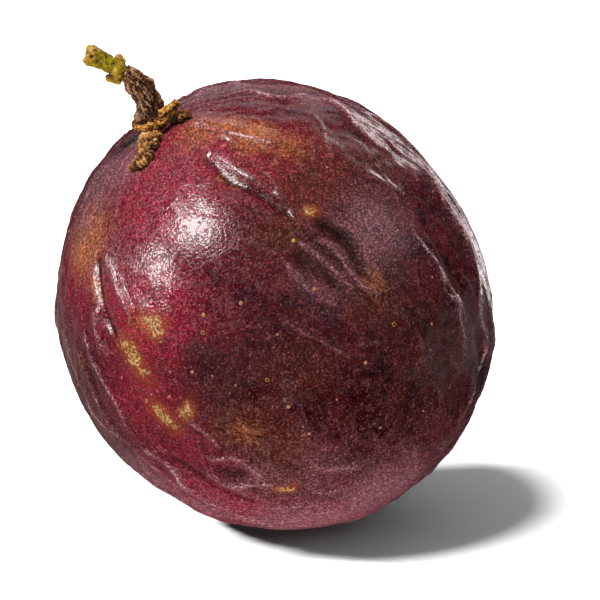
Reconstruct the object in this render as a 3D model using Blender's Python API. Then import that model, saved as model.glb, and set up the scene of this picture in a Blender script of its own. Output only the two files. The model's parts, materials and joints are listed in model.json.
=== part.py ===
"""A ripe purple passion fruit, picked with its stalk, lying on a small flat spot.

Run with:  blender --background --python part.py

The row frame has +Z up and its origin at the middle of the flat spot that the fruit rests on.
The fruit and everything on it are modelled upright, round the fruit's own axis, with the stalk
at +Z and the fruit's middle at 0, and hang on one empty that holds the fruit's lean.
"""

from math import cos, exp, pi, radians, sin

import bmesh
import bpy
from mathutils import Matrix, Vector

MM = 0.001

# The fruit: a slightly long ball.
EQUATOR_RADIUS = 25.6 * MM
HALF_LENGTH = 27.6 * MM
SPHERE_SUBDIVISIONS = 5

# How it lies: the stalk leans to -X and a little towards -Y.
LEAN_TO_LEFT = radians(32.0)
LEAN_TO_FRONT = radians(9.0)
FLAT_SPOT_DEPTH = 0.7 * MM

# The hollow round the stalk's foot.
DIMPLE_DEPTH = 0.9 * MM
DIMPLE_RADIUS = 3.2 * MM

# Broad swells (+) and hollows (-) of the rind: longitude, latitude and half width in degrees,
# and height in millimetres. Longitude 0 faces -Y and grows towards +X; latitude 90 is the stalk.
SWELLS = [
    (126, 51, 24, 0.40),
    (102, 10, 20, -0.40),
    (72, -49, 24, 0.30),
    (-108, 49, 24, -0.35),
    (38, 22, 14, -0.30),
    (24, -20, 18, 0.15),
    (-60, 5, 16, 0.20),
    (170, 0, 26, -0.30),
    (-150, -25, 22, 0.25),
]

# The corky stalk, foot first: place and radius in millimetres.
STALK = [
    ((0.45, -0.30, 27.60), 1.58),
    ((0.90, -0.52, 28.60), 1.62),
    ((1.49, -0.80, 30.34), 1.66),
    ((1.71, -0.90, 32.02), 1.62),
    ((1.57, -0.90, 33.45), 1.52),
    ((1.25, -0.90, 34.70), 1.10),
    ((1.00, -0.90, 35.25), 1.00),
]

# The green stub of the peduncle, from its joint with the stalk to its cut end.
PEDUNCLE = [
    ((0.80, -0.90, 35.68), 0.88),
    ((0.58, -0.90, 36.15), 0.88),
    ((0.00, -0.90, 37.30), 1.06),
    ((-0.50, -0.90, 38.25), 1.14),
    ((-1.12, -0.90, 39.15), 1.20),
    ((-1.38, -0.90, 39.55), 0.98),
]

# The stubs of the three bracts hug the joint. Each has its turn about the peduncle in degrees,
# and stations, foot first: distance from the peduncle's middle, place along it and radius, in
# millimetres.
BRACT_JOINT = (0.66, -0.90, 35.95)
BRACTS = {
    "bract_stub_upper": (12.0, [(1.36, -0.35, 0.22), (1.36, 0.15, 0.28), (1.48, 0.60, 0.20)]),
    "bract_stub_lower": (190.0, [(1.44, -0.65, 0.26), (1.44, 0.05, 0.32), (1.66, 0.72, 0.24)]),
    "bract_stub_back": (105.0, [(1.38, -0.40, 0.24), (1.38, 0.15, 0.30), (1.52, 0.75, 0.20)]),
}

# How finely the swept pieces are cut: steps between two stations, and the bevel's steps.
STEM_STEPS = 4
STEM_BEVEL_STEPS = 4
SEPAL_STEPS = 3
SEPAL_SIDES = 12
BRACT_STEPS = 3
BRACT_BEVEL_STEPS = 2

# Dried sepals round the stalk's foot: path in millimetres with a relative width at each point,
# and the half width and half height of the full section.
SEPALS = {
    "dried_sepal_strap": {
        "path": [
            ((-1.60, 0.90, 28.80), 0.55),
            ((-1.50, -0.70, 28.70), 0.60),
            ((-0.65, -2.25, 28.70), 0.62),
            ((1.00, -3.40, 28.65), 0.85),
            ((2.76, -3.00, 28.94), 1.15),
            ((3.55, -2.70, 29.05), 1.15),
            ((4.60, -2.25, 29.25), 0.75),
        ],
        "section": (0.42 * MM, 0.66 * MM),
    },
    "dried_sepal_lump": {
        "path": [
            ((-0.10, -3.55, 28.00), 0.75),
            ((-0.35, -4.30, 27.95), 1.00),
            ((-0.75, -5.05, 27.75), 1.00),
            ((-1.10, -5.65, 27.60), 0.85),
        ],
        "section": (1.35 * MM, 0.48 * MM),
    },
    "dried_sepal_tongue": {
        "path": [
            ((-1.35, -6.05, 27.35), 0.95),
            ((-1.75, -6.45, 27.15), 1.00),
            ((-2.50, -6.55, 27.02), 0.75),
            ((-3.65, -6.35, 26.80), 0.30),
        ],
        "section": (1.10 * MM, 0.30 * MM),
    },
    "dried_sepal_side": {
        "path": [
            ((2.70, -1.60, 27.75), 0.70),
            ((3.60, -2.20, 27.75), 1.00),
            ((4.40, -2.70, 27.65), 0.90),
            ((5.00, -3.30, 27.45), 0.45),
        ],
        "section": (0.85 * MM, 0.36 * MM),
    },
    "dried_sepal_back": {
        "path": [
            ((-0.60, 2.70, 27.85), 0.70),
            ((-0.90, 3.80, 27.85), 1.00),
            ((-1.50, 5.00, 27.65), 0.80),
            ((-2.10, 6.00, 27.30), 0.40),
        ],
        "section": (0.95 * MM, 0.36 * MM),
    },
}


def clear_scene():
    for obj in list(bpy.data.objects):
        bpy.data.objects.remove(obj, do_unlink=True)


def add_collection(name):
    collection = bpy.data.collections.new(name)
    bpy.context.scene.collection.children.link(collection)
    return collection


def principled(name, colour, roughness):
    """A plain Principled BSDF: colour is linear RGB. Nothing on a fruit is metallic."""
    material = bpy.data.materials.new(name)
    material.use_nodes = True
    shader = material.node_tree.nodes["Principled BSDF"]
    shader.inputs["Base Color"].default_value = (*colour, 1.0)
    shader.inputs["Roughness"].default_value = roughness
    shader.inputs["Metallic"].default_value = 0.0
    material.diffuse_color = (*colour, 1.0)
    return material


def direction(longitude, latitude):
    """Unit vector in the fruit's own frame. Longitude 0 is -Y, and it grows towards +X."""
    lon, lat = radians(longitude), radians(latitude)
    return Vector((sin(lon) * cos(lat), -cos(lon) * cos(lat), sin(lat)))


def rind_point(unit):
    """The rind's surface in a direction: the long ball, its swells and the stalk's dimple."""
    stretch = Vector((unit.x / EQUATOR_RADIUS, unit.y / EQUATOR_RADIUS, unit.z / HALF_LENGTH)).length
    radius = 1.0 / stretch
    for longitude, latitude, half_width, height in SWELLS:
        off = unit.angle(direction(longitude, latitude), 0.0)
        radius += height * MM * exp(-((off / radians(half_width)) ** 2))
    across = radius * Vector((unit.x, unit.y)).length
    if unit.z > 0:
        radius -= DIMPLE_DEPTH * exp(-((across / DIMPLE_RADIUS) ** 2))
    return unit * radius


def lowest_point(lean):
    """The lowest point of the leaning long ball, from its middle, in the row frame."""
    down = Vector((0.0, 0.0, -1.0))
    axis = lean @ Vector((0.0, 0.0, 1.0))
    squares = EQUATOR_RADIUS**2 * down + (HALF_LENGTH**2 - EQUATOR_RADIUS**2) * axis.dot(down) * axis
    return squares / down.dot(squares) ** 0.5


def add_fruit_empty(collection):
    """The empty at the fruit's middle, leaning, and so placed that the flat spot's middle is 0."""
    lean = Matrix.Rotation(-LEAN_TO_LEFT, 3, "Y") @ Matrix.Rotation(LEAN_TO_FRONT, 3, "X")
    lowest = lowest_point(lean)
    share = 1.0 - FLAT_SPOT_DEPTH / -lowest.z
    empty = bpy.data.objects.new("fruit_axis", None)
    empty.location = -lowest * share
    empty.rotation_euler = lean.to_euler()
    collection.objects.link(empty)
    return empty


def add_object(name, data, material, parent, collection):
    obj = bpy.data.objects.new(name, data)
    obj.parent = parent
    collection.objects.link(obj)
    obj.data.materials.append(material)
    return obj


def add_rind(material, parent, collection, cutters):
    """The fruit: one solid, with a real flat where it rests."""
    work = bmesh.new()
    bmesh.ops.create_icosphere(work, subdivisions=SPHERE_SUBDIVISIONS, radius=1.0)
    for vertex in work.verts:
        vertex.co = rind_point(vertex.co.normalized())
    mesh = bpy.data.meshes.new("fruit")
    work.to_mesh(mesh)
    work.free()
    fruit = add_object("fruit", mesh, material, parent, collection)
    mesh.shade_smooth()

    side = 2.0 * HALF_LENGTH
    block = bmesh.new()
    bmesh.ops.create_cube(block, size=side)
    block_mesh = bpy.data.meshes.new("ground_block")
    block.to_mesh(block_mesh)
    block.free()
    ground = bpy.data.objects.new("ground_block", block_mesh)
    ground.location = (0.0, 0.0, -side / 2)
    ground.hide_render = True
    ground.display_type = "WIRE"
    cutters.objects.link(ground)

    cut = fruit.modifiers.new("flat_spot", "BOOLEAN")
    cut.operation = "DIFFERENCE"
    cut.solver = "EXACT"
    cut.object = ground
    return fruit


def curve_through(name, stations, resolution):
    """A smooth curve, with capped ends, through (place in millimetres, radius factor) stations."""
    curve = bpy.data.curves.new(name, "CURVE")
    curve.dimensions = "3D"
    curve.resolution_u = resolution
    curve.use_fill_caps = True
    spline = curve.splines.new("BEZIER")
    spline.bezier_points.add(len(stations) - 1)
    for point, (place, factor) in zip(spline.bezier_points, stations):
        point.co = Vector(place) * MM
        point.handle_left_type = "AUTO"
        point.handle_right_type = "AUTO"
        point.radius = factor
    return curve


def add_round_stem(name, stations, material, parent, collection):
    """A round tapering stem. The curve's bevel is 1 mm, and each station scales it."""
    curve = curve_through(name, stations, STEM_STEPS)
    curve.bevel_depth = MM
    curve.bevel_resolution = STEM_BEVEL_STEPS
    return add_object(name, curve, material, parent, collection)


def add_ellipse_profile(name, half_width, half_height, cutters):
    """A hidden closed outline that a flattened strip is swept with. It runs clockwise."""
    curve = bpy.data.curves.new(name, "CURVE")
    curve.dimensions = "2D"
    spline = curve.splines.new("POLY")
    spline.points.add(SEPAL_SIDES - 1)
    for index, point in enumerate(spline.points):
        turn = -2.0 * pi * index / SEPAL_SIDES
        point.co = (half_width * cos(turn), half_height * sin(turn), 0.0, 1.0)
    spline.use_cyclic_u = True
    profile = bpy.data.objects.new(name, curve)
    profile.hide_render = True
    profile.display_type = "WIRE"
    cutters.objects.link(profile)
    return profile


def add_sepal(name, facts, material, parent, collection, cutters):
    """A dried sepal: a flattened strip whose section stays level across its path."""
    curve = curve_through(name, facts["path"], SEPAL_STEPS)
    curve.twist_mode = "Z_UP"
    curve.bevel_mode = "OBJECT"
    curve.bevel_object = add_ellipse_profile(name + "_section", *facts["section"], cutters)
    return add_object(name, curve, material, parent, collection)


def add_bract_stub(name, turn_degrees, stations, material, parent, collection):
    """The short stub that a bract leaves on the joint: it stands beside the peduncle and follows it."""
    joint = Vector(BRACT_JOINT)
    along = (Vector(PEDUNCLE[-1][0]) - Vector(PEDUNCLE[0][0])).normalized()
    right = Vector((1.0, 0.0, 0.0))
    out = (right - right.dot(along) * along).normalized()
    out = Matrix.Rotation(radians(turn_degrees), 3, along) @ out
    places = [(joint + out * reach + along * rise, radius) for reach, rise, radius in stations]
    curve = curve_through(name, places, BRACT_STEPS)
    curve.bevel_depth = MM
    curve.bevel_resolution = BRACT_BEVEL_STEPS
    return add_object(name, curve, material, parent, collection)


def build():
    clear_scene()
    parts = add_collection("passion_fruit")
    cutters = add_collection("cutters")

    rind = principled("rind", (0.105, 0.012, 0.022), 0.38)
    cork = principled("cork", (0.16, 0.085, 0.045), 0.85)
    green = principled("green_stem", (0.33, 0.26, 0.02), 0.60)
    dry = principled("dry_sepal", (0.42, 0.22, 0.06), 0.90)

    axis = add_fruit_empty(parts)
    add_rind(rind, axis, parts, cutters)
    add_round_stem("stalk", STALK, cork, axis, parts)
    add_round_stem("peduncle_stub", PEDUNCLE, green, axis, parts)
    for name, (turn, stations) in BRACTS.items():
        add_bract_stub(name, turn, stations, green, axis, parts)
    for name, facts in SEPALS.items():
        add_sepal(name, facts, dry, axis, parts, cutters)


build()
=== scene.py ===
"""A ripe purple passion fruit lying on a pale floor, in plain soft studio light."""

import json
from math import cos, radians, sin, sqrt
from random import Random

import bpy
import numpy as np
from mathutils import Matrix, Vector, noise

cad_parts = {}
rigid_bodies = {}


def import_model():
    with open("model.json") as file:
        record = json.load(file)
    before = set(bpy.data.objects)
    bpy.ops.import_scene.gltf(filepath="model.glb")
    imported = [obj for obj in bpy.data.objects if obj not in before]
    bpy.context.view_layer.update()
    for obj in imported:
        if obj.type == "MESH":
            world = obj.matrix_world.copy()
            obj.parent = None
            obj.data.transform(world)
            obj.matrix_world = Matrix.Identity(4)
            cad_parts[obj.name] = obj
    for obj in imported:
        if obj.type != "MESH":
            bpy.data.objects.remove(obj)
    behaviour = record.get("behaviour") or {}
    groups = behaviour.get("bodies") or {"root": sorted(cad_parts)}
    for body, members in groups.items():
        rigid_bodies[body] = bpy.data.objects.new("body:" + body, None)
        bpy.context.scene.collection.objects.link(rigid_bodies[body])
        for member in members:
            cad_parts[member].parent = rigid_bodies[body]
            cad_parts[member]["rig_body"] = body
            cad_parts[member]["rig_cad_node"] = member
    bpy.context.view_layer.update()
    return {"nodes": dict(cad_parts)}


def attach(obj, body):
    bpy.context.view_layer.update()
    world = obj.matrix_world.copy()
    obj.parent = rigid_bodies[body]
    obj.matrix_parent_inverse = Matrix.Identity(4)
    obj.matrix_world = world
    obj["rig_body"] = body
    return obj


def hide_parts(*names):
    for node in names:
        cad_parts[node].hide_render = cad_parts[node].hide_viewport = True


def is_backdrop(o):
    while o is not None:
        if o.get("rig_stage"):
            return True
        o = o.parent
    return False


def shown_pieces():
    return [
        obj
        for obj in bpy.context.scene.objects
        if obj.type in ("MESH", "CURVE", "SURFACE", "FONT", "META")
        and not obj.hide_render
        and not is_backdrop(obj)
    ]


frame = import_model()

MM = 0.001

# ---------------------------------------------------------------------------------------------
# Rind
# The ripe rind is a thin leather under natural wax. As the fruit dries it shrinks on the pulp
# and gathers in creases that run from the stalk to the far end. It grew as one closed piece.
# ---------------------------------------------------------------------------------------------

EQUATOR_RADIUS = 25.6 * MM
HALF_LENGTH = 27.6 * MM
FLAT_SPOT_DEPTH = 0.7 * MM
MEAN_RADIUS_MM = 26.3
LEAN_LEFT = -32.0
LEAN_FORWARD = 9.0
MERGE_DISTANCE = 0.002 * MM

# The fruit's own axes: +Z points to the stalk, and longitude 0 faces the front. The leaning
# spheroid is placed so that the ground cuts off the flat spot, with its middle at the origin.
lean = Matrix.Rotation(radians(LEAN_LEFT), 3, "Y") @ Matrix.Rotation(radians(LEAN_FORWARD), 3, "X")
axis = lean @ Vector((0.0, 0.0, 1.0))
stretch = HALF_LENGTH**2 - EQUATOR_RADIUS**2
half_height = sqrt(EQUATOR_RADIUS**2 + stretch * axis.z**2)
to_top = (EQUATOR_RADIUS**2 * Vector((0.0, 0.0, 1.0)) + stretch * axis.z * axis) / half_height
middle = to_top * (1.0 - FLAT_SPOT_DEPTH / half_height)


def unit(longitude, latitude):
    """Directions from the fruit's middle, in its own axes. Longitude grows to the right."""
    lon, lat = np.radians(longitude), np.radians(latitude)
    return np.stack([np.sin(lon) * np.cos(lat), -np.cos(lon) * np.cos(lat), np.sin(lat)], axis=-1)


def deselect():
    bpy.ops.object.select_all(action="DESELECT")


def coordinates(mesh):
    points = np.empty(len(mesh.vertices) * 3, np.float32)
    mesh.vertices.foreach_get("co", points)
    return points.reshape(-1, 3).astype(float)


def set_coordinates(mesh, points):
    mesh.vertices.foreach_set("co", points.astype(np.float32).ravel())
    mesh.update()


def add_attribute(mesh, name, values):
    layer = mesh.attributes.new(name, "FLOAT", "POINT")
    layer.data.foreach_set("value", np.asarray(values, np.float32))


def merged_copy(node):
    """A free copy of a CAD node, with its split vertices merged into one closed mesh."""
    deselect()
    piece = frame["nodes"][node].copy()
    piece.data = piece.data.copy()
    piece.name = piece.data.name = node + "_detail"
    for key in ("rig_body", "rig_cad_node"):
        del piece[key]
    piece.parent = None
    bpy.context.collection.objects.link(piece)
    bpy.context.view_layer.objects.active = piece
    piece.select_set(True)
    bpy.ops.object.mode_set(mode="EDIT")
    bpy.ops.mesh.select_all(action="SELECT")
    bpy.ops.mesh.remove_doubles(threshold=MERGE_DISTANCE)
    bpy.ops.object.mode_set(mode="OBJECT")
    return piece


# A smooth copy of the CAD fruit guides the fine mesh, and is removed afterwards.
guide = merged_copy("fruit")
rounding = guide.modifiers.new("rounding", "SUBSURF")
rounding.levels = rounding.render_levels = 2
bpy.ops.object.modifier_apply(modifier="rounding")

deselect()
bpy.ops.mesh.primitive_ico_sphere_add(subdivisions=6, radius=HALF_LENGTH, location=(0, 0, 0))
rind = bpy.context.object
rind.name = "rind"
bpy.ops.object.mode_set(mode="EDIT")
bpy.ops.mesh.select_all(action="SELECT")
bpy.ops.mesh.subdivide(number_cuts=2)
bpy.ops.object.mode_set(mode="OBJECT")
# The vertices are gathered towards the front, where the finest creases are, by a stereographic
# map from the far side: every flat distance from the front point is divided by GATHERING.
FRONT = np.array([0.0, -0.97, 0.243])
GATHERING = 1.5
points = coordinates(rind.data)
points /= np.linalg.norm(points, axis=1, keepdims=True)
ahead = points @ FRONT
flat = points - np.outer(ahead, FRONT)
flat /= GATHERING * np.maximum(1.0 + ahead, 1e-6)[:, None]
square = (flat**2).sum(axis=1, keepdims=True)
points = (2.0 * flat + (1.0 - square) * FRONT) / (1.0 + square)
set_coordinates(rind.data, points * HALF_LENGTH + np.array(middle))
wrap = rind.modifiers.new("wrap", "SHRINKWRAP")
wrap.target = guide
wrap.wrap_method = "NEAREST_SURFACEPOINT"
bpy.ops.object.modifier_apply(modifier="wrap")
bpy.data.objects.remove(guide)

surface = coordinates(rind.data)
own = (surface - np.array(middle)) @ np.array(lean)
lengths = np.linalg.norm(own, axis=1)
ways = own / lengths[:, None]
outward = ways @ np.array(lean).T


def noise_field(scale_mm, seed, stretch_along=1.0):
    """Perlin noise of about -0.5 to 0.5 on the rind. scale_mm is the size of a lump."""
    scaled = own / (scale_mm * MM)
    scaled[:, 2] /= stretch_along
    scaled += seed * 17.3
    return np.array([noise.noise(Vector(point)) for point in scaled])


# How far, in millimetres, a fold wanders to either side of its route.
wander = 0.5 * noise_field(5.0, 1)


def smooth_route(stations, steps=14):
    """A Catmull-Rom curve through (longitude, latitude) stations, as directions."""
    knots = unit(*np.array(stations, float).T)
    knots = np.vstack([2 * knots[0] - knots[1], knots, 2 * knots[-1] - knots[-2]])
    t = np.linspace(0.0, 1.0, steps, endpoint=False)[:, None]
    runs = []
    for a, b, c, d in zip(knots, knots[1:], knots[2:], knots[3:]):
        bend = (2 * a - 5 * b + 4 * c - d) * t**2 + (3 * b - a - 3 * c + d) * t**3
        runs.append(0.5 * (2 * b + (c - a) * t + bend))
    runs.append(knots[-2][None])
    route = np.vstack(runs)
    return route / np.linalg.norm(route, axis=1, keepdims=True)


def fold(stations, height, left, right, sharp=1.5, taper=0.25):
    """A crest (height over 0) or a crease (under 0) along a route, in millimetres.

    left and right are its widths on either side, as seen from outside on the way from the first
    station to the last. A higher sharp gives it steeper banks. It fades in over the first taper
    of its length, and out over the last."""
    route = smooth_route(stations)
    # Beyond a few widths nothing is left of it.
    reach = 3.2 * max(left, right) / MEAN_RADIUS_MM
    centre = route.mean(axis=0)
    spread = np.linalg.norm(route - centre, axis=1).max()
    near = np.flatnonzero(np.linalg.norm(ways - centre, axis=1) < spread + reach)
    relief = np.zeros(len(ways))
    apart = np.linalg.norm(ways[near][:, None] - route[None], axis=2)
    closest = apart.argmin(axis=1)
    tangent = np.gradient(route, axis=0)
    tangent /= np.linalg.norm(tangent, axis=1, keepdims=True)
    to_right = np.cross(tangent, route)
    off = ways[near] - route[closest]
    side = np.einsum("ij,ij->i", off, to_right[closest]) * MEAN_RADIUS_MM
    side += wander[near]
    beyond = np.einsum("ij,ij->i", off, tangent[closest]) * MEAN_RADIUS_MM
    share = closest / (len(route) - 1)
    fade = np.clip(share / taper, 0, 1) * np.clip((1 - share) / taper, 0, 1)
    fade = fade * fade * (3 - 2 * fade)
    width = np.where(side > 0, right, left)
    profile = np.exp(-(np.abs(side) / width) ** sharp)
    profile *= np.exp(-(beyond / max(left, right)) ** 2)
    relief[near] = height * fade * profile
    return relief


def around_spot(lon, lat, half_width):
    """1 at a spot on the rind, falling softly to 0 around it. half_width is in millimetres."""
    apart = np.arccos(np.clip(ways @ unit(lon, lat), -1, 1)) * MEAN_RADIUS_MM
    return np.exp(-((apart / half_width) ** 2))


# Creases and crests of the front, from the stalk downwards. Each has a route of (longitude,
# latitude) stations, a height, and a left and a right width, and some have a sharpness.
FOLDS = [
    # The long crease below the stalk, with its bright bank, and the groove that goes on from it.
    ([(27, 68), (22, 56), (24, 51), (28, 44), (29, 38), (30, 30)], -0.75, 1.3, 0.8),
    ([(34, 67), (30, 60), (28, 54), (29, 48)], 0.26, 0.9, 0.6),
    ([(28, 54), (30, 46), (33, 38)], 0.20, 0.7, 0.5),
    ([(34, 34), (35, 27), (36, 21), (35, 15), (34, 9)], -1.05, 0.9, 0.8, 2.0),
    ([(27, 30), (30, 26), (31, 20), (31, 14), (32, 8), (35, 2)], 0.50, 0.45, 0.5, 1.2),
    ([(24, 31), (26, 26), (27, 20), (28, 14), (31, 6)], 0.42, 0.6, 0.6),
    ([(20, 31), (22, 24), (24, 18), (26, 12)], -0.60, 1.1, 0.9, 2.0),
    ([(17, 31), (18, 25), (19, 19), (21, 13), (23, 8)], 0.42, 0.9, 0.6, 1.2),
    ([(8, 18), (10, 12), (13, 6), (16, 0), (19, -4)], 0.28, 0.5, 0.6, 1.2),
    ([(20, 1), (23, -2), (27, -4)], 0.26, 0.5, 0.6, 1.2),
    ([(30, 4), (36, -2), (44, -8)], 0.16, 0.9, 1.2),
    # The tan ridge beside the stalk.
    ([(44, 80), (43, 72), (45, 64), (47, 58), (50, 46)], 0.45, 2.2, 0.7),
    ([(112, 79), (119, 73), (118, 68), (106, 65), (96, 65)], 0.28, 0.9, 0.9),
    ([(96, 66), (89, 62), (84, 59), (84, 56), (90, 51), (100, 46)], 0.36, 0.8, 0.8),
    # Sharp crests on the right side, each with a valley on its inner side.
    ([(92, 50), (87, 43), (79, 37), (75, 29), (76, 22)], 0.60, 3.0, 0.6, 1.2),
    ([(80, 24), (79, 14), (75, 6), (74, -1), (71, -8), (68, -18)], 0.65, 2.6, 0.6, 1.2),
    ([(75, 17), (72, 7), (70, -4), (66, -14)], -0.22, 0.9, 2.4),
    ([(90, 34), (87, 20), (84, 6), (80, -8), (76, -20)], -0.20, 0.9, 0.9),
    ([(60, 31), (60, 27), (61, 22), (64, 14)], 0.28, 0.5, 0.45, 1.2),
    ([(57, 15), (55, 11), (54, 5), (54, -3), (52, -8), (55, -15), (54, -24)], 0.40, 0.6, 2.2, 1.2),
    ([(60, 12), (59, 4), (58, -6), (60, -14)], -0.30, 2.0, 0.8),
    ([(54, 3), (54, -6), (54, -12), (52, -17), (50, -24), (49, -34)], 0.30, 0.5, 0.9, 1.2),
    ([(72, -4), (70, -15), (64, -22), (64, -31), (60, -40)], 0.28, 0.5, 0.9, 1.2),
    ([(40, -22), (37, -27), (33, -35), (28, -43)], 0.16, 0.6, 0.9),
    ([(63, -28), (62, -35), (53, -42), (44, -47)], 0.36, 0.8, 0.9),
    ([(59, -22), (60, -34), (52, -46)], -0.35, 1.1, 1.1),
    ([(72, -18), (73, -30), (70, -42)], 0.35, 1.2, 1.0),
    # Creases that run down the left side.
    ([(-60, 42), (-57, 33), (-55, 26), (-52, 19), (-50, 13), (-51, 7), (-50, 1)], 0.30, 0.6, 0.7),
    ([(-61, 34), (-59, 18), (-57, 4), (-59, -14)], -0.30, 0.9, 0.9),
    ([(-73, 27), (-67, 15), (-66, 9), (-59, 4), (-56, -1), (-58, -9), (-59, -15), (-52, -22)],
     0.32, 0.7, 0.8),
    ([(-50, -20), (-45, -27), (-43, -32), (-38, -42)], 0.28, 0.6, 0.7),
    ([(-79, 30), (-75, 14), (-72, 0), (-72, -16)], -0.26, 1.1, 1.1),
    ([(-85, 34), (-82, 18), (-79, 0), (-78, -14)], 0.22, 1.0, 1.0),
    ([(-49, 42), (-50, 32), (-46, 24)], 0.30, 0.8, 0.8),
    ([(-47, 56), (-48, 46), (-44, 36), (-41, 28)], -0.60, 0.9, 0.8),
    ([(-42, 54), (-41, 50), (-38, 45), (-35, 38), (-34, 33)], 0.42, 0.7, 0.8),
    ([(-44, 16), (-42, 6), (-40, -4)], -0.24, 1.3, 1.0),
    # Short folds underneath, in front.
    ([(-29, 6), (-28, 2), (-26, -3), (-26, -9)], 0.36, 0.6, 0.8),
    ([(-33, -5), (-30, -8), (-25, -10), (-23, -14), (-22, -18), (-23, -23)], 0.50, 0.7, 1.0),
    ([(-33, -10), (-29, -15), (-26, -19)], -0.36, 0.9, 0.8),
    ([(-35, -15), (-31, -18), (-25, -22), (-19, -26)], 0.40, 0.6, 0.6),
    ([(-52, 2), (-49, -2), (-46, -6), (-46, -11), (-47, -16), (-42, -22)], 0.42, 0.6, 0.9),
    ([(-48, -1), (-41, -9), (-37, -20), (-33, -30)], -0.38, 1.0, 1.0),
    ([(-36, -10), (-32, -20), (-27, -32)], 0.32, 0.8, 0.8),
    ([(-16, -14), (-12, -24), (-4, -34)], -0.26, 1.2, 1.2),
    ([(-12, -22), (-2, -30), (10, -36)], 0.28, 1.0, 1.2),
    # Fine lines between them.
    ([(-66, 36), (-62, 22), (-60, 10), (-55, 0), (-52, -9), (-50, -16), (-44, -26)], 0.24, 0.5, 0.6),
    ([(-80, 24), (-74, 8), (-68, -6), (-62, -20), (-54, -34)], 0.24, 0.5, 0.6),
    ([(-56, -18), (-50, -28), (-42, -38), (-30, -48)], 0.26, 0.5, 0.6),
    ([(-40, -22), (-33, -29), (-24, -36), (-12, -42)], 0.24, 0.5, 0.7),
    ([(-20, -30), (-8, -37), (6, -42)], 0.22, 0.5, 0.7),
]

# Broad swellings and hollows: longitude, latitude, half width and height.
SWELLS = [(46, 19, 4.5, 0.34), (97, 56, 1.7, -0.45), (-26, -14, 1.6, -0.20),
          (10, 10, 6.0, -0.10), (30, -26, 6.0, 0.14), (-4, 28, 4.0, -0.10)]

# A crest higher than this, in millimetres, gets a painted sheen line along its top.
LOWEST_SHEEN_CREST = 0.18

relief = sum(fold(*facts) for facts in FOLDS)
crest_routes = [(facts[0], facts[1]) for facts in FOLDS if facts[1] > LOWEST_SHEEN_CREST]
relief += sum(height * around_spot(lon, lat, half_width) for lon, lat, half_width, height in SWELLS)

# The side that faces away shrivels in the same way: crests and creases in pairs.
BACK_PAIRS = 30
BACK_STARTS_AT = 96.0
BACK_SPACING = 5.9
chance = Random(11)
for step in range(BACK_PAIRS):
    lon = BACK_STARTS_AT + step * BACK_SPACING + chance.uniform(-2.5, 2.5)
    top = chance.uniform(20.0, 62.0)
    run = chance.uniform(35.0, 75.0)
    drift = chance.uniform(-9.0, 9.0)
    stations = [(lon + drift * sin(3.0 * part) + chance.uniform(-2.0, 2.0), top - run * part)
                for part in (0.0, 0.33, 0.67, 1.0)]
    depth = chance.uniform(0.22, 0.52)
    relief += fold(stations, -depth, chance.uniform(0.8, 1.6), chance.uniform(0.8, 1.6))
    beside = [(a + chance.uniform(5.0, 8.0), b + 3.0) for a, b in stations]
    relief += fold(beside, 0.7 * depth, chance.uniform(0.7, 1.3), chance.uniform(0.7, 1.3))
    crest_routes.append((beside, 0.7 * depth))

# The dry scar of the flower, in a shallow pucker at the end away from the stalk.
SCAR_LATITUDE = -88.0
relief -= 0.55 * around_spot(0.0, SCAR_LATITUDE, 2.2)

# Small gathers everywhere, longer along the meridians than across them, and long fine wrinkles.
# The wrinkles fade in the full middle of the front, and everything where the skin is taut in
# front of the stalk.
gathers = noise_field(2.6, 3, 2.6)
lumps = noise_field(6.0, 4)
fine = noise_field(1.15, 5, 1.5)
long_wrinkles = np.clip(1.0 - np.abs(noise_field(4.2, 7, 3.4)) / 0.10, 0.0, 1.0)
patchy = np.clip(0.5 + 1.6 * noise_field(11.0, 6), 0.1, 1.0)
sides = 1.0 - 0.75 * around_spot(0.0, 10.0, 17.0)
slack = 1.0 - 0.88 * around_spot(-12.0, 47.0, 12.0)
relief += slack * (0.22 * lumps + patchy * (0.30 * gathers + 0.11 * fine))
relief += 0.13 * sides * slack * long_wrinkles

# Puckers run out from the stalk's foot like spokes.
PUCKER_CLOSENESS = 11.0
PUCKER_LENGTH = 22.0
PUCKER_LATITUDE = 68.0
PUCKER_HALF_WIDTH = 13.0
spokes = own[:, :2] / np.linalg.norm(own[:, :2], axis=1, keepdims=True) * PUCKER_CLOSENESS
latitude = np.degrees(np.arcsin(ways[:, 2]))
spokes = np.column_stack([spokes, latitude / PUCKER_LENGTH])
puckers = np.array([noise.noise(Vector(point)) for point in spokes])
near_foot = np.exp(-(((latitude - PUCKER_LATITUDE) / PUCKER_HALF_WIDTH) ** 2))
relief += 0.34 * slack * puckers * near_foot

# Nothing is folded on the flat spot, which stays on the ground. The folds fade in above it.
FADE_FROM = 0.1 * MM
FADE_OVER = 2.0 * MM
above = np.clip((surface[:, 2] - FADE_FROM) / FADE_OVER, 0, 1)
relief *= above * above * (3 - 2 * above)
moved = surface + outward * (relief * MM)[:, None]
moved[:, 2] = np.maximum(moved[:, 2], 0.0)
set_coordinates(rind.data, moved)


def spread_out(mesh, values, rounds):
    """Averages a value along the mesh's edges, round after round."""
    ends = np.empty(len(mesh.edges) * 2, np.int32)
    mesh.edges.foreach_get("vertices", ends)
    first, second = ends.reshape(-1, 2).T
    share = np.bincount(first, minlength=len(values)) + np.bincount(second, minlength=len(values)) + 1
    for _ in range(rounds):
        total = values + np.bincount(first, values[second], len(values))
        total += np.bincount(second, values[first], len(values))
        values = total / share
    return values


# How far each place stands over (+) or under (-) the rind about a millimetre around it.
CREST_ROUNDS = 24
add_attribute(rind.data, "crest", relief - spread_out(rind.data, relief, CREST_ROUNDS))
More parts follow.
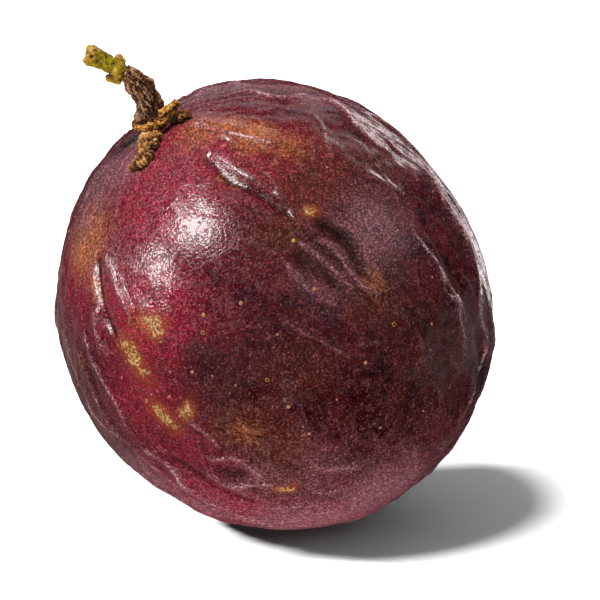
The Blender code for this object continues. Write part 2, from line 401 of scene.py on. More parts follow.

# A painted sheen lies in a thin broken line along each crest, most on the highest ones.
FULL_SHEEN_CREST = 0.40
painted_sheen_lines = [fold(route, min(height / FULL_SHEEN_CREST, 1.0), 0.20, 0.26, 1.0)
              for route, height in crest_routes]
in_places = np.clip(0.78 + 1.5 * noise_field(2.4, 9), 0.2, 1.0)
add_attribute(rind.data, "painted_crest_sheen", np.max(painted_sheen_lines, axis=0) * sides**2 * in_places)

# Colour fields, painted as soft round patches: longitude, latitude, half width and strength.
COLOUR_FIELDS = {
    "crimson": [(12, 66, 8, 0.9), (-8, 62, 8, 0.9), (-26, 35, 6, 1.0), (-20, 25, 4.5, 0.8),
                (44, 47, 6, 0.9), (-60, 50, 8, 0.6), (-40, 14, 7, 0.5), (-36, -4, 7, 0.35),
                (-37, 40, 5, 0.8), (28, 60, 5, 0.6), (-46, -28, 9, 0.6), (-30, -50, 9, 0.6),
                (0, -40, 8, 0.3), (130, 40, 12, 0.5), (-130, 20, 14, 0.5), (175, 60, 10, 0.5),
                (-160, -20, 9, 0.4)],
    "dusk": [(-16, 17, 4, 1.0), (-13, 8, 5, 0.8), (3, 12, 5, 0.5), (4, -4, 6, 0.8), (6, -30, 6, 1.0),
             (17, -31, 7, 0.9), (12, -20, 6, 0.8), (34, -24, 7, 0.7), (-10, -36, 5, 0.6)],
    "brown": [(46, 38, 8, 0.5), (32, 9, 4, 0.8), (24, 34, 5, 0.5), (-17, -3, 4, 0.8), (36, 4, 4, 0.5),
              (40, -20, 8, 0.3), (62, 30, 5, 0.5), (-70, 20, 6, 0.5), (4, 2, 5, 0.4),
              (-20, -24, 4, 0.6), (-13, -15, 5, 0.7), (-76, 0, 6, 0.4), (110, 10, 9, 0.6),
              (150, -20, 9, 0.5), (-120, -30, 9, 0.5)],
    "tan": [(50, 66, 2.6, 0.8), (49, 58, 3.0, 1.0), (52, 50, 3.0, 0.6), (40, 72, 3.4, 0.8),
            (-60, 56, 4.4, 1.3), (-58, 48, 3.0, 0.5), (24, 53, 0.9, 1.0), (22, 57, 0.8, 0.8),
            (-20, 76, 2.2, 0.5), (-17, -5, 2.4, 0.5), (34, 9, 2.2, 0.5), (-31, 33, 2.2, 0.5),
            (-50, 46, 0.9, 0.9), (-48, 42, 0.8, 0.8), (57, 47, 2.2, 0.4), (35, 34, 0.8, 0.9),
            (160, 30, 3.0, 0.8), (-140, 45, 2.6, 0.7), (120, -15, 2.4, 0.7), (-100, -10, 2.0, 0.6)],
    # Pale bloom, most at the rims and on the bulges, is partly the wax's own bloom and partly painted sheen.
    "bloom_and_sheen": [(46, 18, 4.5, 1.3), (4, 65, 8, 0.3), (-40, 52, 6, 0.4), (92, 48, 3.5, 0.8),
              (88, 32, 3.5, 0.9), (84, 14, 3.5, 0.9), (80, -4, 3.5, 0.8), (120, 68, 7, 0.8),
              (150, 30, 12, 0.5), (-120, 10, 12, 0.5), (-150, 50, 8, 0.5), (-66, 6, 4, 0.5),
              (-62, -12, 5, 0.9), (-54, -28, 6, 1.0), (-34, -50, 8, 1.5), (0, -52, 7, 1.3),
              (24, 18, 3.5, 0.5), (-76, 70, 5, 1.4), (-50, 76, 4, 1.2), (-68, 62, 4, 1.0),
              (-24, -20, 4, 0.6), (-8, -28, 5, 0.5)],
    "scar": [(0, SCAR_LATITUDE, 1.5, 1.0)],
}
for name, patches in COLOUR_FIELDS.items():
    painted = [strength * around_spot(lon, lat, half_width) for lon, lat, half_width, strength in patches]
    add_attribute(rind.data, name, np.max(painted, axis=0))

# Golden patches, as streaks: a route, and the half width in millimetres.
GOLD_STREAKS = [([(-33, 31), (-26, 31), (-19, 30)], 1.20), ([(-29, 32), (-26, 29), (-24, 26)], 1.20),
                ([(-41, 34), (-38, 26), (-33, 12)], 1.30), ([(-40, 15), (-36, 8), (-31, -1)], 1.25),
                ([(-30, 10), (-26, 4)], 1.50), ([(-25, -24), (-20, -28), (-14, -29.5)], 0.60),
                ([(31, 36), (39, 31)], 0.55), ([(-51, 48), (-49, 42)], 0.50),
                ([(143, 26), (148, 16)], 1.1), ([(-117, 12), (-121, 0)], 1.2),
                ([(183, -8), (187, -15)], 0.9)]
streaks = [fold(route, 1.0, half_width, half_width, 1.8, 0.5) for route, half_width in GOLD_STREAKS]
add_attribute(rind.data, "gold", np.max(streaks, axis=0))
rind.data.shade_smooth()


def linear(hex_colour):
    """An sRGB hex colour as linear RGBA."""
    parts = [int(hex_colour[i:i + 2], 16) / 255 for i in (1, 3, 5)]
    return (*[p / 12.92 if p <= 0.04045 else ((p + 0.055) / 1.055) ** 2.4 for p in parts], 1.0)


def new_material(name):
    """A material with its node tree and its Principled BSDF."""
    material = bpy.data.materials.new(name)
    material.use_nodes = True
    return material, material.node_tree, material.node_tree.nodes["Principled BSDF"]


def add_node(tree, kind, inputs, out=0, **settings):
    """Adds a node with its settings and links, and returns one of its outputs.

    inputs gives each input, by name or number, a value or the output that it is linked to."""
    node = tree.nodes.new("ShaderNode" + kind)
    for name, value in settings.items():
        setattr(node, name, value)
    for name, value in inputs.items():
        if isinstance(value, bpy.types.NodeSocket):
            tree.links.new(value, node.inputs[name])
        else:
            node.inputs[name].default_value = value
    return node.outputs[out]


# Natural wax on a thin leather: a soft gloss that breaks up on fine grain, and a faint sheen that turns every
# edge a dusty pink. Pale patches of bloom, partly painted sheen, lie mostly at the rims and on the bulges.
# The grain is drawn a little coarser than real.
waxy_rind, tree, shader = new_material("waxy_leathery_rind")
GRAIN_MM = 0.48
FINE_GRAIN_MM = 0.22
GRIT_MM = 0.26
SPECKLE_MM = 0.30

place = add_node(tree, "TexCoord", {}, "Object")
broad, cloudy, mottled, speckle = [
    add_node(tree, "TexNoise", {"Vector": place, "Scale": 1000 / lump, "Detail": detail, "Roughness": 0.6})
    for lump, detail in ((8.0, 3.0), (2.6, 3.0), (0.9, 2.0), (SPECKLE_MM, 1.0))]
bend = add_node(tree, "TexNoise", {"Vector": place, "Scale": 1000 / 0.6, "Detail": 1.0}, "Color")
bend = add_node(tree, "VectorMath", {0: bend, "Scale": 0.30 * MM}, operation="SCALE")
bent_place = add_node(tree, "VectorMath", {0: place, 1: bend}, operation="ADD")
grain = {"Vector": bent_place, "Scale": 1000 / GRAIN_MM}
grain_away = add_node(tree, "TexVoronoi", grain, "Distance", feature="F1")
grain_edge = add_node(tree, "TexVoronoi", grain, "Distance", feature="DISTANCE_TO_EDGE")
grain_pick = add_node(tree, "TexVoronoi", grain, "Color", feature="F1")
grain_pick = add_node(tree, "SeparateColor", {0: grain_pick})
fine_away = add_node(tree, "TexVoronoi", {"Vector": bent_place, "Scale": 1000 / FINE_GRAIN_MM}, "Distance")
grit = add_node(tree, "TexNoise", {"Vector": place, "Scale": 1000 / GRIT_MM, "Detail": 2.0, "Roughness": 0.7})

# The ground colour goes from near black to maroon, then crimson, brown, tan and pale bloom fields lie on it;
# the bloom is partly painted sheen.
# A Map Range's inputs 1 and 2 are the range it reads, and 3 and 4 the range it gives.
depth = add_node(tree, "MapRange", {0: broad, 1: 0.38, 2: 0.62})
colour = add_node(tree, "Mix", {0: depth, 6: linear("#1a0208"), 7: linear("#4a0a19")}, 2, data_type="RGBA")
for name, tone, edge_noise, low, high, full in (
        ("crimson", "#9a1a34", cloudy, 0.40, 1.10, 1.0),
        ("dusk", "#26050a", cloudy, 0.50, 1.30, 0.8),
        ("brown", "#5c2a1c", cloudy, 0.45, 1.05, 0.9),
        ("tan", "#c0703c", mottled, 0.70, 1.35, 0.8),
        ("bloom_and_sheen", "#a07078", mottled, 0.45, 1.60, 0.6),
        ("scar", "#6a4a32", mottled, 0.70, 1.20, 1.0)):
    field = add_node(tree, "Attribute", {}, "Fac", attribute_name=name)
    field = add_node(tree, "Math", {0: field, 1: edge_noise}, operation="ADD")
    field = add_node(tree, "MapRange", {0: field, 1: low, 2: high, 4: full})
    colour = add_node(tree, "Mix", {0: field, 6: colour, 7: linear(tone)}, 2, data_type="RGBA")

# Painted shade darkens the valleys and painted light pales the crests.
crest = add_node(tree, "Attribute", {}, "Fac", attribute_name="crest")
painted_crest_light = add_node(tree, "MapRange", {0: crest, 1: 0.04, 2: 0.18, 4: 0.48})
colour = add_node(tree, "Mix", {0: painted_crest_light, 6: colour, 7: linear("#a0666c")}, 2, data_type="RGBA")
painted_valley_shade = add_node(tree, "MapRange", {0: crest, 1: -0.03, 2: -0.24, 4: 0.78})
colour = add_node(tree, "Mix", {0: painted_valley_shade, 6: colour, 7: linear("#340806")}, 2, data_type="RGBA")

# Thin dark seams run between the grains, and fine grit makes every place darker or paler.
seam = add_node(tree, "MapRange", {0: grain_edge, 1: 0.16, 2: 0.0, 4: 0.50})
colour = add_node(tree, "Mix", {0: seam, 6: colour, 7: linear("#1c0508")}, 2, data_type="RGBA")
contrast = add_node(tree, "MapRange", {0: grit, 1: 0.45, 2: 0.74, 3: 0.55, 4: 2.7})
colour = add_node(tree, "VectorMath", {0: colour, "Scale": contrast}, operation="SCALE")
# Pale specks on some grains, more on the crests, are partly the rind's own pale grain and partly painted
# glints.
speck_and_glint = add_node(tree, "MapRange", {0: grit, 1: 0.58, 2: 0.71})
picked = add_node(tree, "MapRange", {0: grain_pick, 1: 0.20, 2: 1.0, 4: 0.55})
picked = add_node(tree, "Math", {0: painted_crest_light, 1: picked}, operation="ADD")
speck_and_glint = add_node(tree, "Math", {0: speck_and_glint, 1: picked}, operation="MULTIPLY", use_clamp=True)
colour = add_node(tree, "Mix", {0: speck_and_glint, 6: colour, 7: linear("#c07c84")}, 2, data_type="RGBA")

# The thin painted sheen lines along the crests are palest, and the grit makes their edges ragged.
painted_crest_sheen = add_node(tree, "Attribute", {}, "Fac", attribute_name="painted_crest_sheen")
sheen_grit = add_node(tree, "MapRange", {0: grit, 1: 0.35, 2: 0.65, 3: -0.25, 4: 0.25})
painted_crest_sheen = add_node(tree, "Math", {0: painted_crest_sheen, 1: sheen_grit}, operation="ADD")
painted_crest_sheen = add_node(tree, "MapRange", {0: painted_crest_sheen, 1: 0.28, 2: 0.85, 4: 0.92})
colour = add_node(tree, "Mix", {0: painted_crest_sheen, 6: colour, 7: linear("#ecc4c8")}, 2, data_type="RGBA")

# Golden patches are worn through to the pale tissue: ragged, speckled, and in a rusty halo.
golden = add_node(tree, "Attribute", {}, "Fac", attribute_name="gold")
halo = add_node(tree, "MapRange", {0: golden, 1: 0.0, 2: 0.6, 4: 0.45})
colour = add_node(tree, "Mix", {0: halo, 6: colour, 7: linear("#b0582c")}, 2, data_type="RGBA")
ragged = add_node(tree, "MapRange", {0: grit, 1: 0.30, 2: 0.70, 3: -0.26, 4: 0.20})
broken = add_node(tree, "MapRange", {0: mottled, 1: 0.30, 2: 0.70, 3: -0.42, 4: 0.34})
ragged = add_node(tree, "Math", {0: ragged, 1: broken}, operation="ADD")
golden = add_node(tree, "Math", {0: golden, 1: ragged}, operation="ADD")
golden = add_node(tree, "MapRange", {0: golden, 1: 0.46, 2: 0.60, 4: 0.95})
gold_tone = add_node(tree, "MapRange", {0: speckle, 1: 0.40, 2: 0.64})
gold_tone = add_node(tree, "Mix", {0: gold_tone, 6: linear("#744a1c"), 7: linear("#e0ac74")}, 2,
                     data_type="RGBA")
colour = add_node(tree, "Mix", {0: golden, 6: colour, 7: gold_tone}, 2, data_type="RGBA")
tree.links.new(colour, shader.inputs["Base Color"])

# Each grain is a low dome with a furrow round it. Fine winding cracks, which are duller than the
# rest, run through them.
domes = add_node(tree, "MapRange", {0: grain_away, 1: 0.75, 2: 0.0, 4: 0.20})
fine_domes = add_node(tree, "MapRange", {0: fine_away, 1: 0.75, 2: 0.0, 4: 0.12})
furrow = add_node(tree, "MapRange", {0: grain_edge, 1: 0.22, 2: 0.0, 4: -0.6})
crack = add_node(tree, "TexNoise", {"Vector": place, "Scale": 1000 / 1.2, "Detail": 3.0, "Roughness": 0.6})
crack = add_node(tree, "Math", {0: crack, 1: 0.5}, operation="SUBTRACT")
crack = add_node(tree, "Math", {0: crack}, operation="ABSOLUTE")
crack = add_node(tree, "MapRange", {0: crack, 1: 0.030, 2: 0.0})
furrow = add_node(tree, "Math", {0: crack, 1: -0.8, 2: furrow}, operation="MULTIPLY_ADD")
height = add_node(tree, "Math", {0: domes, 1: fine_domes}, operation="ADD")
height = add_node(tree, "Math", {0: speckle, 1: 0.3, 2: height}, operation="MULTIPLY_ADD")
height = add_node(tree, "Math", {0: height, 1: furrow}, operation="ADD")
bump = add_node(tree, "Bump", {"Height": height, "Strength": 1.0, "Distance": 0.012 * MM})
tree.links.new(bump, shader.inputs["Normal"])
roughness = add_node(tree, "MapRange", {0: cloudy, 1: 0.3, 2: 0.7, 3: 0.10, 4: 0.15})
roughness = add_node(tree, "Math", {0: crack, 1: 0.5, 2: roughness}, operation="MULTIPLY_ADD")
tree.links.new(roughness, shader.inputs["Roughness"])
shader.inputs["IOR"].default_value = 1.50
shader.inputs["Sheen Weight"].default_value = 0.18
shader.inputs["Sheen Roughness"].default_value = 0.25
shader.inputs["Sheen Tint"].default_value = linear("#dca8b2")

rind.data.materials.clear()
rind.data.materials.append(waxy_rind)
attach(rind, "root")
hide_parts("fruit")

# ---------------------------------------------------------------------------------------------
# Pores
# Small corky pores dot the rind. Each is a low pale disc that stands a little proud of the skin,
# and some have an open middle. They grow in the rind, so they are set into its surface.
# ---------------------------------------------------------------------------------------------

# Longitude, latitude, radius in millimetres, tint (0 is straw, 1 is pink) and whether it is open.
PORES = [(24, 31, 0.27, 0.0, 0), (20, 18, 0.24, 0.1, 0), (1, 26, 0.27, 0.8, 0), (-10, 28, 0.24, 0.1, 0),
         (-13, 24, 0.27, 0.2, 1), (-21, 16, 0.22, 0.5, 0), (-27, 18, 0.17, 0.8, 0), (-16, 13, 0.15, 0.8, 0),
         (-4, 5, 0.26, 0.3, 1), (-3, -2, 0.22, 0.4, 1), (-3, -4, 0.25, 0.5, 0), (-3, -14, 0.25, 0.9, 0),
         (32, -3, 0.27, 0.0, 1), (42, -11, 0.22, 0.9, 0), (20, -6, 0.24, 0.6, 0), (14, -25, 0.20, 0.7, 0),
         (66, 43, 0.20, 0.2, 0), (61, 42, 0.16, 0.5, 0), (52, 38, 0.18, 0.5, 0), (45, 22, 0.18, 0.7, 0),
         (-26, 26, 0.16, 0.4, 0), (-31, 12, 0.20, 0.6, 0), (-45, 20, 0.16, 0.6, 0), (11, 40, 0.18, 0.8, 0),
         (34, 16, 0.15, 0.6, 0), (50, -2, 0.18, 0.8, 0), (8, -10, 0.15, 0.7, 0), (28, -30, 0.18, 0.7, 0),
         (-12, 8, 0.14, 0.8, 0), (38, -16, 0.15, 0.7, 0), (5, 14, 0.15, 0.7, 0), (-36, 14, 0.14, 0.5, 0)]

# The rest are scattered over the other sides. None grows on the flat spot. An open one is sunk
# over the middle part of its radius.
PORE_COUNT = 130
LOWEST_PORE = 0.5 * MM
DISC_THICKNESS = 0.42
OPEN_PART = 0.6
OPEN_DEPTH = 0.38 * MM
chance = Random(23)
while len(PORES) < PORE_COUNT:
    lon = chance.uniform(70.0, 290.0)
    lat = np.degrees(np.arcsin(chance.uniform(-0.98, 0.92)))
    PORES.append((lon, lat, chance.uniform(0.13, 0.27), chance.random(), int(chance.random() < 0.2)))

deselect()
bpy.ops.mesh.primitive_uv_sphere_add(segments=8, ring_count=6, radius=MM)
disc = bpy.context.object
bpy.ops.object.mode_set(mode="EDIT")
bpy.ops.mesh.select_all(action="SELECT")
bpy.ops.transform.resize(value=(1.0, 1.0, DISC_THICKNESS))
bpy.ops.object.mode_set(mode="OBJECT")


def normals(mesh):
    values = np.empty(len(mesh.vertices) * 3, np.float32)
    mesh.vertices.foreach_get("normal", values)
    return values.reshape(-1, 3).astype(float)


rind_normals = normals(rind.data)
pores = []
for lon, lat, radius, tint, is_open in PORES:
    at = int(np.argmax(ways @ unit(lon, lat)))
    if moved[at][2] < LOWEST_PORE:
        continue
    pore = disc.copy()
    pore.data = disc.data.copy()
    bpy.context.collection.objects.link(pore)
    across = np.linalg.norm([vertex.co.xy for vertex in pore.data.vertices], axis=1) / MM
    top = np.array([vertex.co.z > 0 for vertex in pore.data.vertices])
    in_middle = top * (across < OPEN_PART)
    if is_open:
        for vertex, sunk in zip(pore.data.vertices, in_middle):
            vertex.co.z -= OPEN_DEPTH * sunk
    add_attribute(pore.data, "tint", np.full(len(across), tint))
    add_attribute(pore.data, "middle", is_open * in_middle)
    turn = Vector(rind_normals[at]).to_track_quat("Z", "Y").to_matrix().to_4x4()
    pore.data.transform(Matrix.Translation(Vector(moved[at])) @ turn @ Matrix.Scale(radius, 4))
    pores.append(pore)
bpy.data.objects.remove(disc)
deselect()
for pore in pores:
    pore.select_set(True)
bpy.context.view_layer.objects.active = pores[0]
bpy.ops.object.join()
pore_group = bpy.context.object
pore_group.name = "pores"
pore_group.data.shade_smooth()

# Dry cork cells: matt, straw to dusty pink, and darker where the pore is open.
cork_pore, tree, shader = new_material("dry_cork_pore")
place = add_node(tree, "TexCoord", {}, "Object")
crumbly = add_node(tree, "TexNoise", {"Vector": place, "Scale": 1000 / 0.15, "Detail": 1.0})
tint = add_node(tree, "Attribute", {}, "Fac", attribute_name="tint")
colour = add_node(tree, "Mix", {0: tint, 6: linear("#c89a44"), 7: linear("#b87470")}, 2, data_type="RGBA")
dark = add_node(tree, "MapRange", {0: crumbly, 1: 0.55, 2: 0.35, 4: 0.6})
colour = add_node(tree, "Mix", {0: dark, 6: colour, 7: linear("#6a3020")}, 2, data_type="RGBA")
middle_of_pore = add_node(tree, "Attribute", {}, "Fac", attribute_name="middle")
colour = add_node(tree, "Mix", {0: middle_of_pore, 6: colour, 7: linear("#5a2418")}, 2, data_type="RGBA")
tree.links.new(colour, shader.inputs["Base Color"])
bump = add_node(tree, "Bump", {"Height": crumbly, "Strength": 0.6, "Distance": 0.04 * MM})
tree.links.new(bump, shader.inputs["Normal"])
shader.inputs["Roughness"].default_value = 0.6
pore_group.data.materials.clear()
pore_group.data.materials.append(cork_pore)
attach(pore_group, "root")

# ---------------------------------------------------------------------------------------------
# Stalk
# The last centimetre of the flower stalk turns to dry cork as the fruit ripens. It splits
# lengthwise into twisted pale ridges with dark cracks between them, and stands in the rind.
# ---------------------------------------------------------------------------------------------


def fine_copy(node, voxel, rounds):
    """A closed, even, fine mesh of a CAD node, to carve. voxel is its grid, in millimetres."""
    piece = merged_copy(node)
    even = piece.modifiers.new("even", "REMESH")
    even.mode = "VOXEL"
    even.voxel_size = voxel * MM
    bpy.ops.object.modifier_apply(modifier="even")
    calm = piece.modifiers.new("calm", "SMOOTH")
    calm.iterations = rounds
    bpy.ops.object.modifier_apply(modifier="calm")
    return piece


def to_own(points):
    """Points in millimetres, in the fruit's own axes."""
    return (points - np.array(middle)) @ np.array(lean) / MM


def from_own(points):
    return points * MM @ np.array(lean).T + np.array(middle)


def noise_at(points, size, seed):
    """Perlin noise of about -0.5 to 0.5 at points, with lumps of a size, both in millimetres."""
    return np.array([noise.noise(Vector(point)) for point in points / size + seed * 11.7])


def stem_places(points, slices=24):
    """How far along a stem each of its points is, in millimetres, and its angle round the stem.

    The angle is 0 in front, and grows to the right."""
    centred = points - points.mean(axis=0)
    direction = np.linalg.svd(centred, full_matrices=False)[2][0]
    direction *= np.sign(direction[2])
    along = centred @ direction
    along -= along.min()
    edges = np.linspace(0, along.max(), slices + 1)
    which = np.clip(np.digitize(along, edges) - 1, 0, slices - 1)
    middles = np.array([points[which == i].mean(axis=0) for i in range(slices)])
    at = 0.5 * (edges[1:] + edges[:-1])
    centre = np.stack([np.interp(along, at, middles[:, i]) for i in range(3)], axis=1)
    off = points - centre
    off -= np.outer(off @ direction, direction)
    front = np.array([0.0, -1.0, 0.0]) + direction[1] * direction
    front /= np.linalg.norm(front)
    across = np.cross(direction, front)
    return along, np.arctan2(off @ across, off @ front)


def finish_piece(piece, material, node):
    piece.data.materials.clear()
    piece.data.materials.append(material)
    piece.data.shade_smooth()
    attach(piece, "root")
    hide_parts(node)


stalk = fine_copy("stalk", 0.07, 8)
bare = to_own(coordinates(stalk.data))
along, around = stem_places(bare)
# The foot goes down into the hollow of the rind.
FOOT_HEIGHT = 1.2
bare[:, 2] -= 0.9 * np.clip(1.0 - along / FOOT_HEIGHT, 0, 1)
# The ridges run along the stalk and turn slowly round it.
STALK_RADIUS_MM = 1.65
TURN_PER_MM = 0.10
RIDGE_STRETCH = 4.5
twist = around + TURN_PER_MM * along
wrapped = STALK_RADIUS_MM * np.stack([np.cos(twist), np.sin(twist)], axis=1)
wrapped = np.column_stack([wrapped, along / RIDGE_STRETCH])
ridges = noise_at(wrapped, 0.34, 1)
breaks = noise_at(bare * [1, 1, 0.6], 0.55, 2)
crumbs = noise_at(bare, 0.22, 3)
lumpy = noise_at(bare, 1.6, 4)
CRACK_WIDTH = 0.16
cracks = -np.clip(CRACK_WIDTH - np.abs(ridges), 0, 1) / CRACK_WIDTH
stalk_relief = 0.24 * cracks + 0.30 * lumpy + 0.20 * breaks * (1 + cracks) + 0.14 * crumbs + 0.10 * ridges
# A small knob stands out on its left side.
knob = np.exp(-((along - 2.6) / 0.6) ** 2 - ((around + 1.45) / 0.35) ** 2)
stalk_relief += 0.55 * knob
out = normals(stalk.data) @ np.array(lean)
bare += out * (stalk_relief - 0.02)[:, None]
set_coordinates(stalk.data, from_own(bare))
add_attribute(stalk.data, "relief", stalk_relief - 0.30 * lumpy)


def dry_material(name, deep, middle_tone, pale, low, high, grain_mm):
    """Dry plant tissue, quite matt, dark in its pits and pale on its crumbs: the tone follows the relief, so
    it is partly painted shade and painted light.

    low and high are the relief, in millimetres, of its darkest and palest places."""
    material, tree, shader = new_material(name)
    place = add_node(tree, "TexCoord", {}, "Object")
    streaks = add_node(tree, "TexNoise", {"Vector": place, "Scale": 1000 / grain_mm, "Detail": 3.0,
                                          "Roughness": 0.7})
    patches = add_node(tree, "TexNoise", {"Vector": place, "Scale": 1000 / 1.1, "Detail": 2.0})
    # The relief darkens the pits with painted shade and pales the raised crumbs with painted light.
    shade = add_node(tree, "Attribute", {}, "Fac", attribute_name="relief")
    shade = add_node(tree, "MapRange", {0: shade, 1: low, 2: high})
    streaky = add_node(tree, "MapRange", {0: streaks, 1: 0.25, 2: 0.75, 3: -0.5, 4: 0.5})
    shade = add_node(tree, "Math", {0: shade, 1: streaky}, operation="ADD", use_clamp=True)
    light = add_node(tree, "MapRange", {0: shade, 1: 0.10, 2: 0.50})
    colour = add_node(tree, "Mix", {0: light, 6: linear(deep), 7: linear(middle_tone)}, 2, data_type="RGBA")
    light = add_node(tree, "MapRange", {0: shade, 1: 0.50, 2: 1.00})
    colour = add_node(tree, "Mix", {0: light, 6: colour, 7: linear(pale)}, 2, data_type="RGBA")
    stained = add_node(tree, "MapRange", {0: patches, 1: 0.48, 2: 0.62, 4: 0.45})
    colour = add_node(tree, "Mix", {0: stained, 6: colour, 7: linear(middle_tone)}, 2, data_type="RGBA")
    tree.links.new(colour, shader.inputs["Base Color"])
    bump = add_node(tree, "Bump", {"Height": streaks, "Strength": 0.9, "Distance": 0.06 * MM})
    tree.links.new(bump, shader.inputs["Normal"])
    shader.inputs["Roughness"].default_value = 0.8
    shader.inputs["Specular IOR Level"].default_value = 0.35
    return material


cork = dry_material("fissured_dry_cork", "#1c0a05", "#7c4824", "#e4b890", -0.20, 0.16, 0.24)
finish_piece(stalk, cork, "stalk")

# ---------------------------------------------------------------------------------------------
# Green stub
# The live end of the peduncle, cut when the fruit was picked. It starts in a swollen yellow collar on the
# cork, and its blunt end has dried and carries a dark leaf scar. The end and the scar's lip are painted a
# bright gold, partly their own colour and partly painted light on the lit end.
# ---------------------------------------------------------------------------------------------

stub = fine_copy("peduncle_stub", 0.055, 8)
bare = to_own(coordinates(stub.data))
along, around = stem_places(bare)
length = along.max()
COLLAR_AT = 0.55
collar = np.exp(-((along - COLLAR_AT) / 0.45) ** 2) * (0.24 + 0.12 * np.cos(around * 3 + 0.6))
grooves = 0.05 * np.cos(5 * around + 0.8) + 0.16 * noise_at(bare * [1, 1, 0.5], 0.8, 5)
out = normals(stub.data) @ np.array(lean)
near_end = np.clip((along - length + 1.1) / 0.9, 0, 1)
lumps_on_end = near_end * (0.10 + 0.34 * noise_at(bare, 0.75, 8))
LEAF_SCAR = np.array([-0.95, -1.90, 39.30])
scar_away = np.linalg.norm(bare - LEAF_SCAR, axis=1)
scar = np.exp(-((scar_away / 0.27) ** 3))
scar_lip = 0.6 * np.exp(-(((scar_away - 0.42) / 0.16) ** 2))
bare[:, 2] -= 0.35 * np.clip(1.0 - along / 0.5, 0, 1)
stub_relief = collar + grooves + lumps_on_end - 0.08 * scar + 0.03 * scar_lip
stub_relief += 0.08 * noise_at(bare, 0.3, 6)
bare += out * stub_relief[:, None]
set_coordinates(stub.data, from_own(bare))
add_attribute(stub.data, "scar", scar)
# The end and the scar's lip take a bright gold tone, partly painted light on the lit end.
add_attribute(stub.data, "gold_end_and_light", np.maximum(near_end * 0.7, scar_lip))
add_attribute(stub.data, "collar", np.exp(-((along - COLLAR_AT) / 0.55) ** 2))

# Living green bark gone yellow: a satin skin, olive in its grooves, brown where it dried, and a bright gold
# end that is partly painted light.
green, tree, shader = new_material("green_peduncle_skin")
place = add_node(tree, "TexCoord", {}, "Object")
streaks = add_node(tree, "TexNoise", {"Vector": place, "Scale": 1000 / 0.3, "Detail": 3.0, "Roughness": 0.6})
patches = add_node(tree, "TexNoise", {"Vector": place, "Scale": 1000 / 1.1, "Detail": 3.0, "Roughness": 0.6})
light = add_node(tree, "MapRange", {0: patches, 1: 0.38, 2: 0.62})
colour = add_node(tree, "Mix", {0: light, 6: linear("#5e500a"), 7: linear("#c4ae1c")}, 2, data_type="RGBA")
for name, tone, low, high, full in (
        ("collar", "#d0a82c", 0.75, 1.25, 0.8),
        ("gold_end_and_light", "#dcaa40", 0.65, 1.10, 0.8),
        ("scar", "#4a2216", 0.70, 1.30, 0.95)):
    field = add_node(tree, "Attribute", {}, "Fac", attribute_name=name)
    field = add_node(tree, "Math", {0: field, 1: streaks}, operation="ADD")
    field = add_node(tree, "MapRange", {0: field, 1: low, 2: high, 4: full})
    colour = add_node(tree, "Mix", {0: field, 6: colour, 7: linear(tone)}, 2, data_type="RGBA")
dried = add_node(tree, "MapRange", {0: streaks, 1: 0.51, 2: 0.60, 4: 0.85})
colour = add_node(tree, "Mix", {0: dried, 6: colour, 7: linear("#62300c")}, 2, data_type="RGBA")
tree.links.new(colour, shader.inputs["Base Color"])
bump = add_node(tree, "Bump", {"Height": streaks, "Strength": 0.8, "Distance": 0.06 * MM})
tree.links.new(bump, shader.inputs["Normal"])
shader.inputs["Roughness"].default_value = 0.55
finish_piece(stub, green, "peduncle_stub")

# ---------------------------------------------------------------------------------------------
# Bract stubs
# Three leafy bracts sat under the flower, on the joint. Each leaves a short hooked lobe, tan
# and dry at its tip, that hugs the collar.
# ---------------------------------------------------------------------------------------------

# Withered leaf base: matt, yellow at its root and tan at its tip.
bract, tree, shader = new_material("withered_bract")
place = add_node(tree, "TexCoord", {}, "Object")
streaks = add_node(tree, "TexNoise", {"Vector": place, "Scale": 1000 / 0.35, "Detail": 3.0, "Roughness": 0.6})
light = add_node(tree, "MapRange", {0: streaks, 1: 0.35, 2: 0.65})
colour = add_node(tree, "Mix", {0: light, 6: linear("#946414"), 7: linear("#e0bc44")}, 2, data_type="RGBA")
tip = add_node(tree, "Attribute", {}, "Fac", attribute_name="tip")
tip = add_node(tree, "MapRange", {0: tip, 1: 0.6, 2: 1.0, 4: 0.7})
colour = add_node(tree, "Mix", {0: tip, 6: colour, 7: linear("#b0702c")}, 2, data_type="RGBA")
tree.links.new(colour, shader.inputs["Base Color"])
bump = add_node(tree, "Bump", {"Height": streaks, "Strength": 0.7, "Distance": 0.05 * MM})
tree.links.new(bump, shader.inputs["Normal"])
shader.inputs["Roughness"].default_value = 0.6

joint_middle = to_own(coordinates(stub.data))[along < 1.0].mean(axis=0)
for seed, node in enumerate(("bract_stub_upper", "bract_stub_lower", "bract_stub_back")):
    lobe = fine_copy(node, 0.05, 6)
    bare = to_own(coordinates(lobe.data))
    up = (bare - bare.min(axis=0))[:, 2]
    up /= up.max()
    inward = joint_middle - bare.mean(axis=0)
    inward[2] = 0.0
    bare += (0.34 - 0.14 * up)[:, None] * inward / np.linalg.norm(inward)
    out = normals(lobe.data) @ np.array(lean)
    swollen = 0.22 + 0.16 * noise_at(bare, 0.5, 20 + seed) + 0.08 * noise_at(bare, 0.2, 30 + seed)
    bare += out * swollen[:, None]
    set_coordinates(lobe.data, from_own(bare))
    add_attribute(lobe.data, "tip", up)
    finish_piece(lobe, bract, node)

# ---------------------------------------------------------------------------------------------
# Dried sepals
# What is left of the flower's sepals: brittle, crumbled strips, baked to a golden tan, that lie
# round the stalk's foot.
# ---------------------------------------------------------------------------------------------

golden_sepal = dry_material("golden_dry_sepal", "#3c1606", "#c87c26", "#f4c068", -0.30, 0.22, 0.18)
grainy_sepal = dry_material("grainy_dry_sepal", "#260d06", "#a0602a", "#fcc47c", -0.16, 0.24, 0.16)
brown_sepal = dry_material("brown_dry_sepal", "#2c1006", "#7c441a", "#c4843c", -0.20, 0.22, 0.18)

PIT_WIDTH = 0.12

